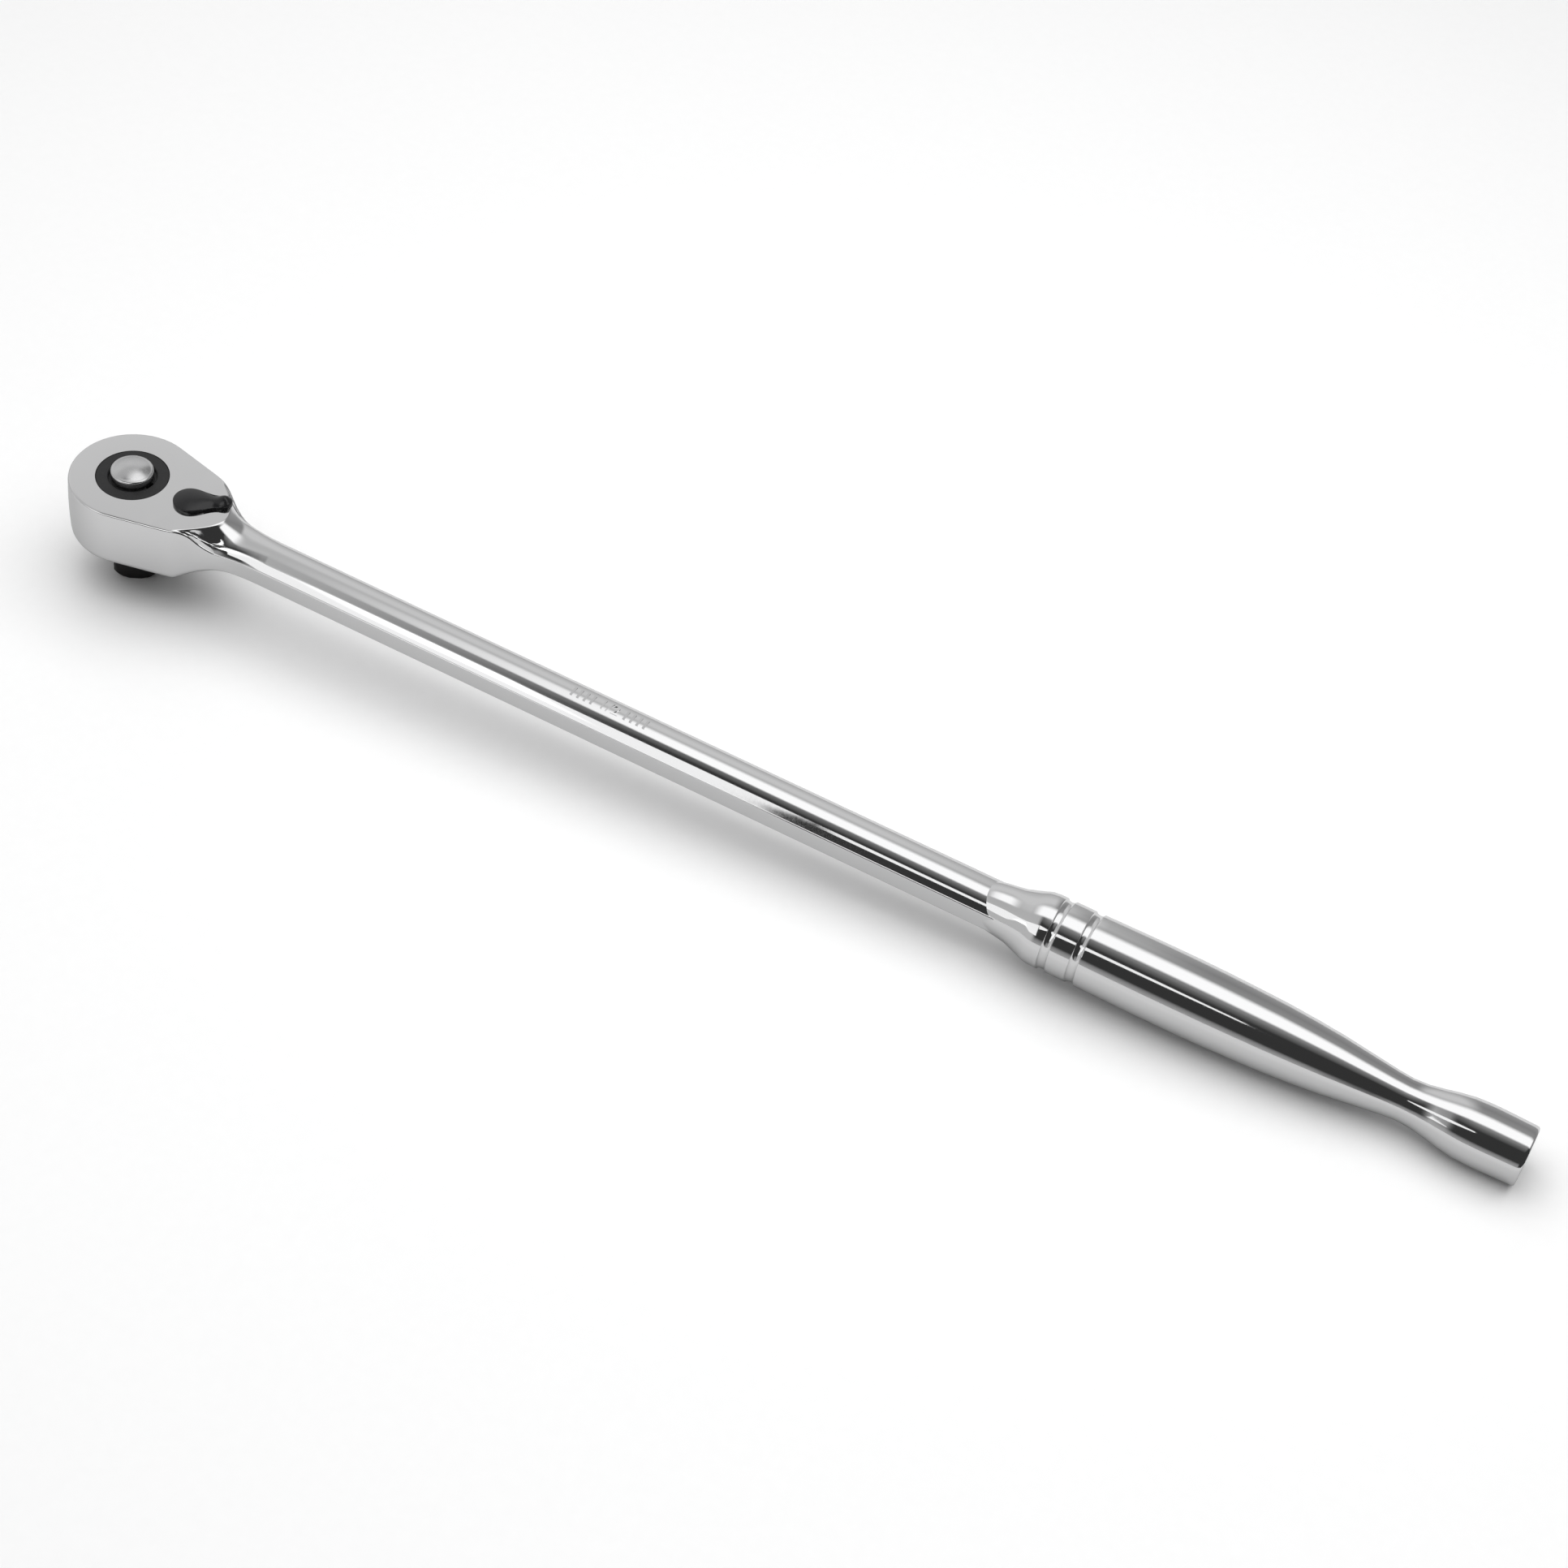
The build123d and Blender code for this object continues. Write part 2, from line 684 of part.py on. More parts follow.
with BuildPart() as reversing_lever:
    with BuildSketch(Plane.XY.offset(plate_seat + face_gap)):
        with Locations((lever_x, 0)):
            Circle(stem_radius)
    extrude(amount=head_top + seat_gap - plate_seat - face_gap)
    with BuildSketch(lever_plane):
        Circle(lever_hub_radius)
        with BuildSketch(mode=Mode.PRIVATE) as arm_ends:
            Circle(lever_neck_radius)
            with Locations((lever_tip_reach, 0)):
                Circle(lever_tip_radius)
        make_hull(arm_ends.sketch.edges())
    extrude(amount=lever_hub_height)
    with BuildSketch(lever_plane):
        tab_radius = lever_tip_radius - lever_tab_inset
        with Locations((lever_tip_reach, 0)):
            Circle(tab_radius)
        with Locations((lever_tip_reach - tab_radius, 0)):
            Rectangle(2 * tab_radius, 2 * tab_radius)
    extrude(amount=lever_tab_height)
    with BuildSketch(plunger_plane.offset(-stem_bore_depth)):
        Circle(plunger_radius + running_fit)
    extrude(amount=stem_bore_depth + stem_radius + 1, mode=Mode.SUBTRACT)
    with BuildSketch(Plane.XY.offset(stem_ring_bottom - seat_gap)):
        with Locations((lever_x, 0)):
            Circle(stem_radius + 1)
            Circle(stem_radius - stem_ring_reach - running_fit, mode=Mode.SUBTRACT)
    extrude(amount=stem_ring_thickness + 2 * seat_gap, mode=Mode.SUBTRACT)
    with BuildSketch(Plane.XY.offset(stem_seal_z - stem_seal_radius - seal_slack)):
        with Locations((lever_x, 0)):
            Circle(stem_radius + 1)
            Circle(stem_radius - 2 * stem_seal_radius, mode=Mode.SUBTRACT)
    extrude(amount=2 * (stem_seal_radius + seal_slack), mode=Mode.SUBTRACT)

lever_snap_ring = split_ring(
    stem_radius - stem_ring_reach,
    stem_radius + stem_ring_reach,
    stem_ring_bottom,
    stem_ring_thickness,
    stem_ring_opening,
    lever_x,
)
lever_seal_ring = round_ring(
    stem_radius + running_fit - seal_fit - stem_seal_radius,
    stem_seal_z,
    stem_seal_radius,
    lever_x,
)

# Round-nosed plunger in the stem, pushed against the pawl's back by its own spring.
with BuildPart() as pawl_plunger:
    with BuildSketch(plunger_plane.offset(plunger_tip_reach - plunger_length)):
        Circle(plunger_radius)
    extrude(amount=plunger_length)
    fillet(pawl_plunger.edges().sort_by(Axis.X)[0], plunger_nose)

with BuildPart() as plunger_spring:
    wire_room = plunger_spring_length - 2 * plunger_wire_radius - 2 * seat_gap
    spring_plane = plunger_plane.offset(-stem_bore_depth + plunger_wire_radius + seat_gap)
    with BuildLine():
        plunger_coil = Helix(
            pitch=wire_room / plunger_spring_turns,
            height=wire_room,
            radius=plunger_coil_radius,
            center=spring_plane.origin,
            direction=spring_plane.z_dir,
        )
    with BuildSketch(Plane(origin=plunger_coil @ 0, z_dir=plunger_coil % 0)):
        Circle(plunger_wire_radius)
    sweep(is_frenet=True)

nodes = {
    "forged_body": forged_body,
    "cover_plate": cover_plate,
    "cover_screws": cover_screws,
    "thrust_washer": thrust_washer,
    "drag_washer": drag_washer,
    "drive_gear": drive_gear,
    "upper_seal_ring": upper_seal_ring,
    "lower_seal_ring": lower_seal_ring,
    "release_button": release_button,
    "release_pin": release_pin,
    "button_spring": button_spring,
    "button_snap_ring": button_snap_ring,
    "detent_ball": detent_ball,
    "pawl": pawl,
    "pawl_pin": pawl_pin,
    "reversing_lever": reversing_lever,
    "lever_snap_ring": lever_snap_ring,
    "lever_seal_ring": lever_seal_ring,
    "pawl_plunger": pawl_plunger,
    "plunger_spring": plunger_spring,
}
os.makedirs("parts", exist_ok=True)
for node, piece in nodes.items():
    piece.part.label = node
    export_step(piece.part, f"parts/{node}.step")
print("nodes", len(nodes), "head top", round(head_top, 2), "lever x", round(lever_x, 2))
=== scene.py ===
import math

import bmesh
import bpy
from mathutils import Matrix, Vector


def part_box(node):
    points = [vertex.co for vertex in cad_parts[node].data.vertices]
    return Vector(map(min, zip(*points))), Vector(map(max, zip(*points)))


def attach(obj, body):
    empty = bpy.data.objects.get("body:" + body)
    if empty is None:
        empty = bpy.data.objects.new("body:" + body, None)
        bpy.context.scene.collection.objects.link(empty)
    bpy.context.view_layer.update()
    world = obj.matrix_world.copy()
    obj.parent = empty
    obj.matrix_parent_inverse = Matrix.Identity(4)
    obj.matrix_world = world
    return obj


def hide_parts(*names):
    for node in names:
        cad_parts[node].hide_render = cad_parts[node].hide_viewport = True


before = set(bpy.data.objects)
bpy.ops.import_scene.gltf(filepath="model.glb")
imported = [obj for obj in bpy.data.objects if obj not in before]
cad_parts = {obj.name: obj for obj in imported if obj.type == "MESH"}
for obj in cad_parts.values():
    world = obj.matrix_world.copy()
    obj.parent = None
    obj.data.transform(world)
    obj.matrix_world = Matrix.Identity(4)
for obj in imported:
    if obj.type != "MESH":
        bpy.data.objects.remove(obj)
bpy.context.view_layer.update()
mm = 0.001
scene = bpy.context.scene


# Small tools used by every piece.

def chain(bm, points, closed=False):
    verts = [bm.verts.new(p) for p in points]
    ends = verts[1:] + verts[:1] if closed else verts[1:]
    return [bm.edges.new(pair) for pair in zip(verts, ends)]


def loft(bm, rows, closed=False):
    chains = [chain(bm, row, closed) for row in rows]
    for one, other in zip(chains, chains[1:]):
        bmesh.ops.bridge_loops(bm, edges=one + other)
    return chains


def fillFlat(bm, edges):
    bmesh.ops.triangle_fill(bm, edges=edges, use_beauty=True, use_dissolve=False)


def circle(radius, z, steps, x=0.0):
    turns = [2 * math.pi * i / steps for i in range(steps)]
    return [(x + radius * math.cos(t), radius * math.sin(t), z) for t in turns]


def spinProfile(bm, profile, steps, axis=(0, 0, 1), centre=(0, 0, 0)):
    edges = chain(bm, profile)
    verts = list({v for e in edges for v in e.verts})
    bmesh.ops.spin(bm, geom=verts + edges, cent=centre, axis=axis, angle=2 * math.pi,
                   steps=steps, use_merge=True)
    bmesh.ops.remove_doubles(bm, verts=bm.verts, dist=1e-4)


def makeObject(bm, name, material, sharpAngle=35, weighted=True):
    bmesh.ops.recalc_face_normals(bm, faces=bm.faces)
    mesh = bpy.data.meshes.new(name)
    bm.to_mesh(mesh)
    bm.free()
    mesh.transform(Matrix.Scale(mm, 4))
    mesh.shade_smooth()
    mesh.set_sharp_from_angle(angle=math.radians(sharpAngle))
    obj = bpy.data.objects.new(name, mesh)
    scene.collection.objects.link(obj)
    mesh.materials.append(material)
    if weighted:
        normals = obj.modifiers.new("weighted", "WEIGHTED_NORMAL")
        normals.keep_sharp = True
    return obj


# Materials.

def greyRamp(nodes, stops):
    ramp = nodes.new("ShaderNodeValToRGB")
    while len(ramp.color_ramp.elements) < len(stops):
        ramp.color_ramp.elements.new(0.5)
    for element, (place, grey) in zip(ramp.color_ramp.elements, stops):
        element.position = place
        element.color = (grey, grey, grey, 1)
    return ramp


def newMaterial(name):
    mat = bpy.data.materials.new(name)
    mat.use_nodes = True
    nodes, links = mat.node_tree.nodes, mat.node_tree.links
    return mat, nodes, links, nodes["Principled BSDF"]


def metal(name, look):
    # Noise on object coordinates varies the tint, the roughness and a fine bump.
    mat, nodes, links, shader = newMaterial(name)
    shader.inputs["Metallic"].default_value = look["metallic"]
    coord = nodes.new("ShaderNodeTexCoord")
    stretch = nodes.new("ShaderNodeMapping")
    stretch.inputs["Scale"].default_value = look.get("stretch", (1, 1, 1))
    links.new(coord.outputs["Object"], stretch.inputs["Vector"])
    cloud = nodes.new("ShaderNodeTexNoise")
    cloud.inputs["Scale"].default_value = look["cloud"]
    cloud.inputs["Detail"].default_value = 4
    links.new(coord.outputs["Object"], cloud.inputs["Vector"])
    grain = nodes.new("ShaderNodeTexNoise")
    grain.inputs["Scale"].default_value = look["grain"]
    grain.inputs["Detail"].default_value = 3
    links.new(stretch.outputs["Vector"], grain.inputs["Vector"])
    tint = nodes.new("ShaderNodeMix")
    tint.data_type = "RGBA"
    dark = [c * (1 - look["tintSpread"]) for c in look["colour"]]
    tint.inputs["A"].default_value = (*dark, 1)
    tint.inputs["B"].default_value = (*look["colour"], 1)
    links.new(cloud.outputs["Fac"], tint.inputs["Factor"])
    links.new(tint.outputs["Result"], shader.inputs["Base Color"])
    rough = nodes.new("ShaderNodeMapRange")
    rough.inputs["From Min"].default_value = 0.3
    rough.inputs["From Max"].default_value = 0.7
    rough.inputs["To Min"].default_value = look["roughness"][0]
    rough.inputs["To Max"].default_value = look["roughness"][1]
    links.new(grain.outputs["Fac"], rough.inputs["Value"])
    links.new(rough.outputs["Result"], shader.inputs["Roughness"])
    bump = nodes.new("ShaderNodeBump")
    bump.inputs["Strength"].default_value = look["bump"]
    bump.inputs["Distance"].default_value = look["bumpHeight"] * mm
    links.new(grain.outputs["Fac"], bump.inputs["Height"])
    links.new(bump.outputs["Normal"], shader.inputs["Normal"])
    return mat


chrome = metal("chromePlate", dict(
    metallic=1, colour=(0.87, 0.87, 0.875), tintSpread=0.02, cloud=60, grain=900,
    roughness=(0.045, 0.08), bump=0.04, bumpHeight=0.02))
brushed = metal("brushedChrome", dict(
    metallic=1, colour=(0.78, 0.78, 0.785), tintSpread=0.12, cloud=300, grain=2500,
    roughness=(0.16, 0.28), bump=0.15, bumpHeight=0.02, stretch=(0.25, 1, 1)))
blackOxide = metal("blackOxide", dict(
    metallic=0, colour=(0.013, 0.013, 0.0135), tintSpread=0.35, cloud=250, grain=2600,
    roughness=(0.42, 0.6), bump=0.25, bumpHeight=0.03))
glossBlack = metal("glossBlack", dict(
    metallic=0, colour=(0.012, 0.012, 0.013), tintSpread=0.3, cloud=200, grain=1200,
    roughness=(0.14, 0.24), bump=0.05, bumpHeight=0.02))
groundSteel = metal("groundSteel", dict(
    metallic=1, colour=(0.55, 0.55, 0.56), tintSpread=0.15, cloud=300, grain=2500,
    roughness=(0.2, 0.35), bump=0.15, bumpHeight=0.02, stretch=(1, 0.2, 1)))
springSteel = metal("springSteel", dict(
    metallic=1, colour=(0.36, 0.36, 0.37), tintSpread=0.2, cloud=400, grain=2000,
    roughness=(0.25, 0.4), bump=0.1, bumpHeight=0.02))
darkSteel = metal("hardenedSteel", dict(
    metallic=1, colour=(0.16, 0.16, 0.165), tintSpread=0.3, cloud=350, grain=2200,
    roughness=(0.3, 0.5), bump=0.2, bumpHeight=0.02))
rubber = metal("sealRubber", dict(
    metallic=0, colour=(0.018, 0.018, 0.018), tintSpread=0.25, cloud=400, grain=3000,
    roughness=(0.55, 0.75), bump=0.2, bumpHeight=0.02))

cadLooks = {
    "cover_plate": blackOxide, "cover_screws": blackOxide, "button_snap_ring": blackOxide,
    "thrust_washer": groundSteel, "pawl_pin": groundSteel, "release_pin": groundSteel,
    "pawl_plunger": groundSteel, "drag_washer": springSteel, "button_spring": springSteel,
    "plunger_spring": springSteel, "lever_snap_ring": springSteel, "pawl": darkSteel,
    "upper_seal_ring": rubber, "lower_seal_ring": rubber, "lever_seal_ring": rubber,
}
for node, look in cadLooks.items():
    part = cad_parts[node]
    if not part.material_slots:
        part.data.materials.append(look)
    for place in part.material_slots:
        place.material = look
print("materials done")


# Forging: head, shank and grip.

low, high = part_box("forged_body")
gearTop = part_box("drive_gear")[1].z / mm
leverLow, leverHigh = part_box("lever_seal_ring")
body = dict(
    headTop=gearTop, headBottom=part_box("cover_plate")[0].z / mm,
    nose=-low.x / mm, taper=math.radians(13.4), cornerX=22.9, neckLength=27.0,
    rimReach=10.0, rimPower=1.8, shankHalf=6.95, shankTop=6.42, flatHalf=2.8,
    plateSeat=3.4, chamberTop=16.15, chamberInset=6.45, recessInset=1.95,
    recessEnd=25.05, recessEndHalf=6.55, chamberEnd=24.3, chamberEndHalf=4.6,
    journalHole=10.76, stemHole=3.46, leverX=(leverLow.x + leverHigh.x) / 2 / mm,
    cornerRound=2.4, widthPower=2.7, wallCrown=0.35, wallFade=1.6, crownLevel=0.55, crownPull=1.6,
    edgeInset=0.77, lowFillet=2.2, shankFillet=0.3, headEdge=0.75, shankEdge=0.4, edgeLength=10.0,
    rimEdge=0.3, crispAngle=math.radians(24), gripStart=283.8, gripOverlap=3, end=high.x / mm,
    # Height of the neck's upper seam over the axis against distance behind the head's corner.
    seam=[(0, 9.675), (1.5, 9.45), (3.1, 8.9), (4.3, 8.0), (5.2, 7.1), (6.1, 6.1), (7.6, 4.8), (9.1, 3.85),
          (10.6, 3.2), (12.2, 2.85), (14, 2.8), (30, 2.8)],
    lowSeamLength=17.0, lowSeamPower=1.75, keelStart=26.0, keelLength=18.0, keelPower=1.8,
    # The ramp behind the rim: length and power on the centre line, and what they gain toward the sides.
    rampLength=10.0, rampGain=3.0, rampPower=3.3, rampLoss=1.5, flankFrom=0.72,
    dishDepth=0.5, dishAt=4.5, dishReach=3.0, dishSide=0.74, dishSpread=0.2, dishFade=4,
    noseSteps=44, sideSteps=14, rowSteps=28, neckSteps=30, shankGaps=(0.34, 0.67, 1.0))
axisZ = (body["headTop"] + body["headBottom"]) / 2
headHalf = (body["headTop"] - body["headBottom"]) / 2
tangentX = body["nose"] * math.sin(body["taper"])
tangentY = body["nose"] * math.cos(body["taper"])
neckEnd = body["cornerX"] + body["neckLength"]
crownRadius = (body["shankHalf"]**2 + (body["shankTop"] - body["flatHalf"])**2) / (
    2 * (body["shankTop"] - body["flatHalf"]))


def settle(x, start, fromSize, toSize, length, power):
    return toSize + (fromSize - toSize) * max(0.0, 1 - max(0.0, x - start) / length) ** power


def rawHalf(x):
    if x <= body["cornerX"]:
        return tangentY - (x - tangentX) * math.tan(body["taper"])
    cornerHalf = tangentY - (body["cornerX"] - tangentX) * math.tan(body["taper"])
    return settle(x, body["cornerX"], cornerHalf, body["shankHalf"], body["neckLength"], body["widthPower"])


def halfWidth(x):
    # The corner between side and neck is rounded over about five millimetres.
    if x > neckEnd - 3:
        return rawHalf(x)
    shares = (-1, -0.5, 0, 0.5, 1)
    return sum(rawHalf(x + body["cornerRound"] * share) for share in shares) / len(shares)


def crownShare(u):
    # 0 at the seams and 1 on the centre line, along a round crown.
    rise = body["shankTop"] - body["flatHalf"]
    y = u * body["shankHalf"]
    return 1 - (crownRadius - math.sqrt(crownRadius**2 - y * y)) / rise


def stepped(stations, place):
    for (start, one), (end, other) in zip(stations, stations[1:]):
        if place <= end:
            return one + (other - one) * (place - start) / (end - start)
    return stations[-1][1]


def seamTop(x):
    return stepped(body["seam"], max(0.0, x - body["cornerX"]))


def seamLow(x):
    return -settle(x, body["cornerX"], headHalf, body["flatHalf"],
                   body["lowSeamLength"], body["lowSeamPower"])


def edgeRound(x):
    return settle(x, body["cornerX"], body["headEdge"], body["shankEdge"], body["edgeLength"], 1.0)


def wallColumn(x, y, normal, share):
    # From the rounded top edge to the inner end of the lower fillet. share fades the head's shape out.
    top, bottom, edge = seamTop(x), seamLow(x), edgeRound(x)
    fillet = body["shankFillet"] + (body["lowFillet"] - body["shankFillet"]) * share
    crown = body["wallCrown"] * share
    points = []
    for i in range(5):
        t = math.pi / 8 * i
        inset = crown * body["edgeInset"] + edge * (1 - math.sin(t))
        points.append((inset, top - edge * (1 - math.cos(t))))
    for level in (0.2, 0.4, 0.6, 0.8, 1):
        z = top - edge + (bottom + fillet - top + edge) * level
        points.append((crown * (body["crownPull"] * abs(level - body["crownLevel"])) ** 2, z))
    startInset = points[-1][0]
    for i in range(1, 6):
        t = i / 5
        across = startInset * (1 - t * t) + t * t * (fillet + startInset)
        up = (bottom + fillet) * (1 - t) ** 2 + (2 * t - t * t) * bottom
        points.append((across, up))
    return [(x - normal[0] * inset, y - normal[1] * inset, z) for inset, z in points]


def topHalf(x):
    crown = body["wallCrown"] * max(0.0, 1 - body["wallFade"] * (x - body["cornerX"]) / body["neckLength"])
    return halfWidth(x) - edgeRound(x) - body["edgeInset"] * min(crown, body["wallCrown"])


def topRow(s):
    row = []
    for i in range(body["rowSteps"] + 1):
        u = 2 * i / body["rowSteps"] - 1
        rimX = body["cornerX"] + body["rimReach"] * (1 - abs(u) ** body["rimPower"])
        rimShare = u * topHalf(body["cornerX"]) / topHalf(rimX)
        x = rimX + (neckEnd - rimX) * s
        across = rimShare + (u - rimShare) * s
        endZ = body["flatHalf"] + (body["shankTop"] - body["flatHalf"]) * crownShare(u)
        ramp = settle(x, rimX, headHalf, endZ, body["rampLength"] + body["rampGain"] * u * u,
                      body["rampPower"] - body["rampLoss"] * u * u)
        flank = stepped(body["seam"], x - rimX)
        flank += (endZ - body["flatHalf"]) * min(1.0, (x - rimX) / body["rampLength"])
        side = max(0.0, min(1.0, (abs(u) - body["flankFrom"]) / (1 - body["flankFrom"])))
        side = side * side * (3 - 2 * side)
        along = (x - rimX - body["dishAt"]) / body["dishReach"]
        aside = (abs(u) - body["dishSide"]) / body["dishSpread"]
        dish = body["dishDepth"] * math.exp(-along ** 2 - aside ** 2) * min(1.0, x - rimX)
        dish *= min(1.0, body["dishFade"] * (1 - abs(u)))
        row.append((x, across * topHalf(x), ramp + (flank - ramp) * side - dish))
    return row


def lowRow(x, start, finish):
    centre = -settle(x, body["keelStart"], headHalf, body["shankTop"],
                     body["keelLength"], body["keelPower"])
    row = []
    for i in range(1, body["rowSteps"]):
        u = 1 - 2 * i / body["rowSteps"]
        y = start[1] + (finish[1] - start[1]) * (1 - u) / 2
        row.append((x, y, start[2] + (centre - start[2]) * crownShare(u)))
    return row


def section(s):
    x = body["cornerX"] + body["neckLength"] * s
    share = max(0.0, 1 - body["wallFade"] * s)
    top = topRow(s)
    right = wallColumn(x, halfWidth(x), (0, 1), share)
    left = [(px, -py, pz) for px, py, pz in right]
    right[0], left[0] = top[-1], top[0]
    return top[:-1] + right + lowRow(x, right[-1], left[-1]) + left[:0:-1]


def pearOutline(inset, endX, endHalf, z, steps=40):
    # Nose arc, straight sides and a flat end, all moved in by inset.
    radius = body["nose"] - inset
    sweep = math.pi / 2 + body["taper"]
    arc = []
    for i in range(2 * steps + 1):
        angle = math.pi - sweep + sweep * i / steps
        arc.append((radius * math.cos(angle), radius * math.sin(angle), z))
    return arc + [(endX, -endHalf, z), (endX, endHalf, z)]


forging = bmesh.new()
sideNormal = (math.sin(body["taper"]), math.cos(body["taper"]))
sideColumns = []
for i in range(body["sideSteps"], 0, -1):
    x = tangentX + (body["cornerX"] - tangentX) * i / body["sideSteps"]
    sideColumns.append(wallColumn(x, halfWidth(x), sideNormal, 1))
for i in range(body["noseSteps"] + 1):
    angle = math.pi / 2 - body["taper"] + (math.pi / 2 + body["taper"]) * i / body["noseSteps"]
    normal = (math.cos(angle), math.sin(angle))
    sideColumns.append(wallColumn(body["nose"] * normal[0], body["nose"] * normal[1], normal, 1))
rings = [section(i / body["neckSteps"]) for i in range(body["neckSteps"] + 1)]
for gap in body["shankGaps"]:
    x = neckEnd + (body["gripStart"] + body["gripOverlap"] - neckEnd) * gap
    rings.append([(x, y, z) for _, y, z in rings[body["neckSteps"]]])
firstWall = wallColumn(body["cornerX"], halfWidth(body["cornerX"]), (0, 1), 1)
firstWall[0] = topRow(0)[-1]
half = [firstWall] + sideColumns[1:]
columns = half + [[(x, -y, z) for x, y, z in column] for column in reversed(half[:-1])]
loft(forging, columns)
loft(forging, rings, closed=True)
bmesh.ops.remove_doubles(forging, verts=forging.verts, dist=0.005)


def openEdgesAt(bm, z):
    return [e for e in bm.edges if e.is_boundary and all(abs(v.co.z - z) < 1e-3 for v in e.verts)]


# The chamber for the gear and the pawl, open to the cover's recess below.
seat = body["plateSeat"] - axisZ
roof = body["chamberTop"] - axisZ
topEdges = openEdgesAt(forging, headHalf)
lowEdges = openEdgesAt(forging, -headHalf)
journal = loft(forging, [circle(body["journalHole"], z, 96) for z in (headHalf, roof)], True)
stem = loft(forging, [circle(body["stemHole"], z, 48, body["leverX"]) for z in (headHalf, roof)], True)
chamber = loft(forging, [pearOutline(body["chamberInset"], body["chamberEnd"], body["chamberEndHalf"], z)
                         for z in (roof, seat)], True)
recess = loft(forging, [pearOutline(body["recessInset"], body["recessEnd"], body["recessEndHalf"], z)
                        for z in (seat, -headHalf)], True)
fillFlat(forging, topEdges + journal[0] + stem[0])
fillFlat(forging, journal[1] + stem[1] + chamber[0])
fillFlat(forging, chamber[1] + recess[0])
fillFlat(forging, recess[1] + lowEdges)
bmesh.ops.recalc_face_normals(forging, faces=forging.faces)


def aroundHole(vert, radius, x=0.0):
    return Vector((vert.co.x - x, vert.co.y)).length < radius + 0.1


def isOuterEdge(edge):
    if len(edge.link_faces) != 2 or not edge.is_convex or edge.calc_face_angle() <= body["crispAngle"]:
        return False
    if max(v.co.z for v in edge.verts) <= -headHalf + 0.1:
        return False
    return not any(aroundHole(v, body["journalHole"]) or aroundHole(v, body["stemHole"], body["leverX"])
                   for v in edge.verts)


bmesh.ops.bevel(forging, geom=[e for e in forging.edges if isOuterEdge(e)], offset=body["rimEdge"],
                offset_type="OFFSET", affect="EDGES", segments=3, profile=0.5, material=-1)

grip = dict(
    steps=96,
    # Distance along the handle and radius, from the shoulder over two grooves to the knob.
    shoulder=[(279.8, 5.8), (281.8, 6.5), (283.8, 6.98), (286.0, 7.32), (288.2, 7.63), (290.4, 8.0),
              (292.6, 8.73), (294.9, 9.51), (297.0, 10.28), (299.3, 10.5), (300.8, 10.5)],
    grooves=(302.7, 311.2), grooveHalf=1.35, grooveDepth=0.62, grooveTop=10.45, grooveSteps=8,
    band=[(304.6, 10.46), (307, 10.5), (309.4, 10.46)],
    swell=[(313.0, 10.5), (315.5, 10.55), (320.9, 10.61), (327.4, 10.69), (333.8, 10.72), (341.0, 10.69),
           (349.4, 10.56), (357.5, 10.3), (366.4, 9.96), (375.0, 9.35), (383.3, 8.58), (391.6, 7.5),
           (396.0, 6.93), (400.0, 6.4), (404.1, 6.06), (408.3, 6.29), (412.4, 7.04), (416.6, 7.95),
           (420.6, 8.58), (424.0, 8.78), (427.0, 8.84), (432.0, 8.72)],
    # Distance before the end and how much smaller the radius is there.
    knobEdge=[(1.4, 0), (0.5, 0.1), (0.1, 0.4), (0, 0.9)], endRadius=8.57)


def groove(centre):
    turns = [i / grip["grooveSteps"] * math.pi for i in range(grip["grooveSteps"] + 1)]
    return [(centre - grip["grooveHalf"] * math.cos(t),
             grip["grooveTop"] - grip["grooveDepth"] * math.sin(t) ** 1.3) for t in turns]


gripShape = bmesh.new()
first, second = grip["grooves"]
profile = [(grip["shoulder"][0][0], 0)] + grip["shoulder"] + groove(first) + grip["band"]
profile += groove(second) + grip["swell"]
profile += [(body["end"] - before, grip["endRadius"] - less) for before, less in grip["knobEdge"]]
profile.append((body["end"], 0))
spinProfile(gripShape, [(x, 0, radius) for x, radius in profile], grip["steps"], axis=(1, 0, 0))
gripMesh = bpy.data.meshes.new("gripShape")
gripShape.to_mesh(gripMesh)
gripShape.free()
forging.from_mesh(gripMesh)
bpy.data.meshes.remove(gripMesh)
bmesh.ops.translate(forging, verts=forging.verts, vec=(0, 0, axisZ))
forgingObject = makeObject(forging, "forging", chrome, sharpAngle=32)
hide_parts("forged_body")
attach(forgingObject, "handle")
print("forging done")


# Drive: ring in the head's face, body and square.

drive = dict(
    top=gearTop, ringRadius=10.7, edge=0.25, wellRadius=7.06, wellFloor=5.2, bottomRadius=9.1,
    bottomEdge=0.3, gearRadius=12.0, gearTop=16.05, gearBottom=4.55, side=12.7, tip=-15.5,
    cornerRadius=8.4, turn=math.radians(30), steps=96,
    # Height over the tip and how far the square's corners are turned in.
    squareEnds=[(16.0, 0), (2.4, 0), (1.3, 0.55), (0.5, 1.15), (0, 1.8)])
driveShape = bmesh.new()
